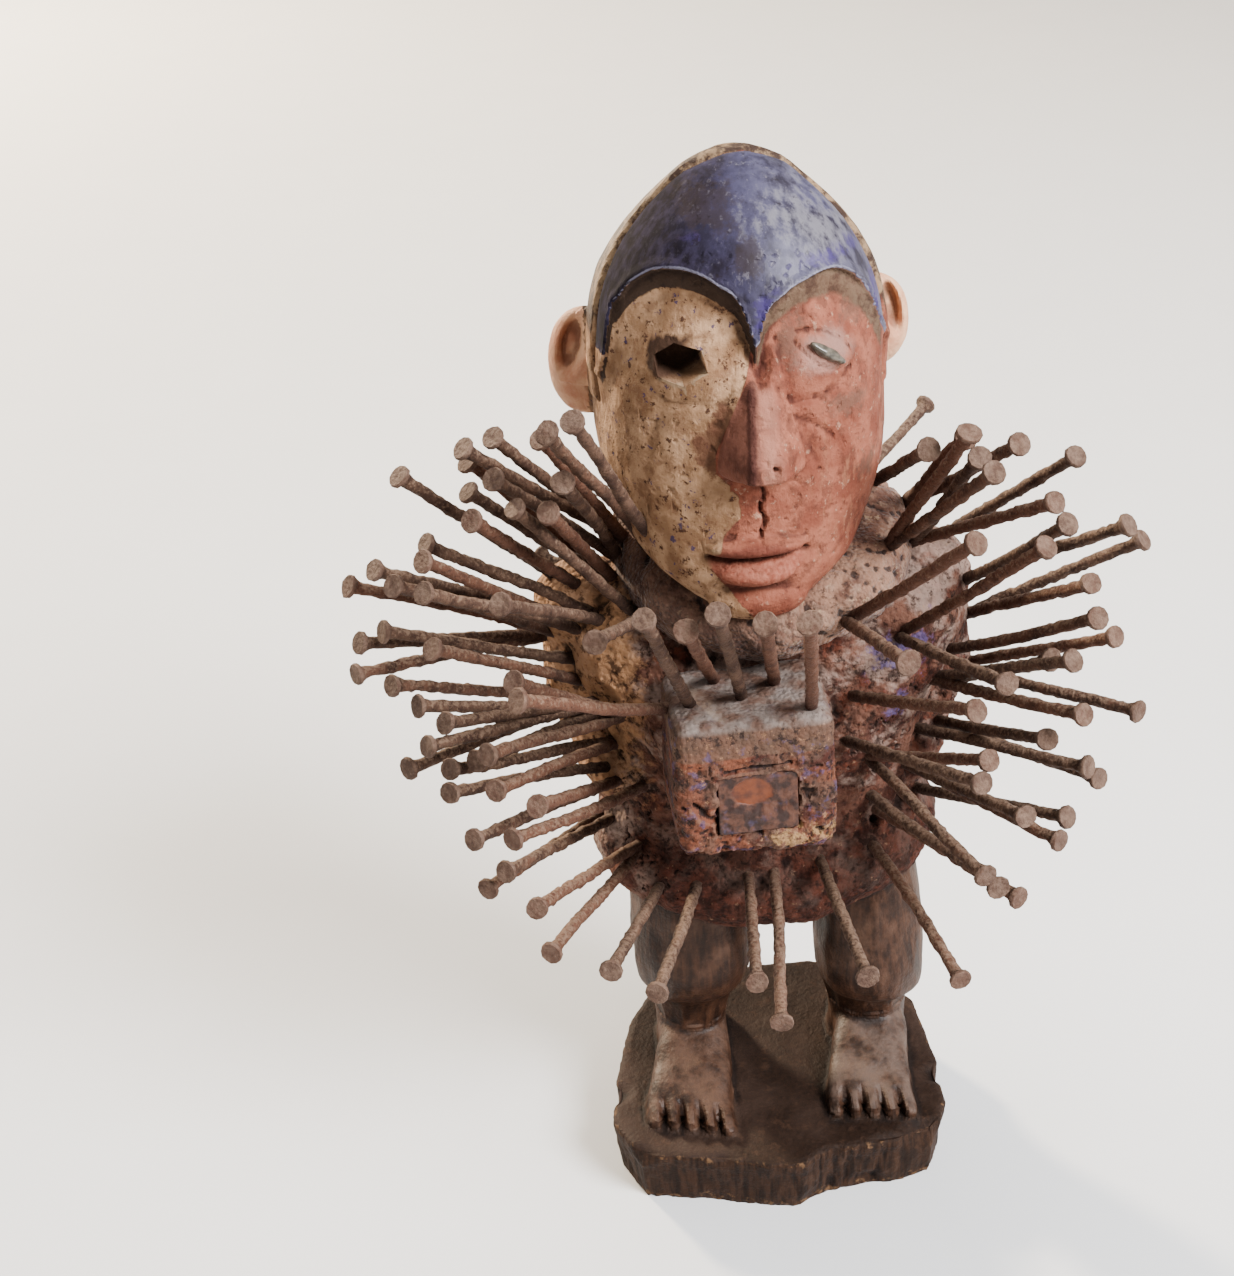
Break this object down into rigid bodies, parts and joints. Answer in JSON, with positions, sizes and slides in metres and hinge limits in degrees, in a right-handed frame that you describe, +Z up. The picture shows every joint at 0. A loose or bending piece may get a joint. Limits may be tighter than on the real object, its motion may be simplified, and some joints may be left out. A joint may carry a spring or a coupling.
{
  "type": "nkisi nkondi figure",
  "caption": "Standing carved wooden power figure on a hewn base, with a block on its belly, a thick roll round its neck and many long iron nails radiating from its trunk.",
  "frame": {"origin": "centre of the flat underside of the base", "axes": "+Z up, -Y the way the figure faces, +X to the right of a viewer in front of it"},
  "size_m": [0.2103, 0.1821, 0.3006],
  "materials": {
    "carved_wood": "worn and polished, partly painted and crusted",
    "crusted_block": "matt crust of clay and resin",
    "amber_resin": "dull translucent",
    "eye_glass": "clouded",
    "stiffened_cloth": "matt, stiffened with paste",
    "rusty_iron": "rusty and rough"
  },
  "bodies": {
    "root": {"belly_box": "crusted_block", "belly_window": "amber_resin", "eye_glass": "eye_glass", "figure": "carved_wood", "nail_arm_left_1": "rusty_iron", "nail_arm_right_1": "rusty_iron", "nail_arm_right_2": "rusty_iron", "nail_arm_right_3": "rusty_iron", "nail_back_1": "rusty_iron", "nail_back_2": "rusty_iron", "nail_back_3": "rusty_iron", "nail_box_top_1": "rusty_iron", "nail_box_top_2": "rusty_iron", "nail_box_top_3": "rusty_iron", "nail_box_top_4": "rusty_iron", "nail_box_top_5": "rusty_iron", "nail_chest_1": "rusty_iron", "nail_chest_10": "rusty_iron", "nail_chest_11": "rusty_iron", "nail_chest_12": "rusty_iron", "nail_chest_13": "rusty_iron", "nail_chest_2": "rusty_iron", "nail_chest_3": "rusty_iron", "nail_chest_4": "rusty_iron", "nail_chest_5": "rusty_iron", "nail_chest_6": "rusty_iron", "nail_chest_7": "rusty_iron", "nail_chest_8": "rusty_iron", "nail_chest_9": "rusty_iron", "nail_chest_right_1": "rusty_iron", "nail_chest_right_2": "rusty_iron", "nail_hem_1": "rusty_iron", "nail_hem_2": "rusty_iron", "nail_hem_3": "rusty_iron", "nail_hem_4": "rusty_iron", "nail_hem_5": "rusty_iron", "nail_hem_6": "rusty_iron", "nail_hip_left_1": "rusty_iron", "nail_hip_right_1": "rusty_iron", "nail_hip_right_2": "rusty_iron", "nail_hip_right_3": "rusty_iron", "nail_hip_right_4": "rusty_iron", "nail_neck_left_1": "rusty_iron", "nail_neck_left_2": "rusty_iron", "nail_neck_left_3": "rusty_iron", "nail_neck_left_4": "rusty_iron", "nail_shoulder_left_1": "rusty_iron", "nail_shoulder_left_2": "rusty_iron", "nail_shoulder_left_back_1": "rusty_iron", "nail_shoulder_left_back_2": "rusty_iron", "nail_shoulder_right_back_1": "rusty_iron", "nail_shoulder_right_back_2": "rusty_iron", "nail_shoulder_right_back_3": "rusty_iron", "nail_side_left_1": "rusty_iron", "nail_side_left_2": "rusty_iron", "nail_side_left_3": "rusty_iron", "nail_side_right_1": "rusty_iron", "nail_side_right_2": "rusty_iron", "nail_waist_left_1": "rusty_iron", "neck_wrap": "stiffened_cloth"}
  },
  "joints": []
}
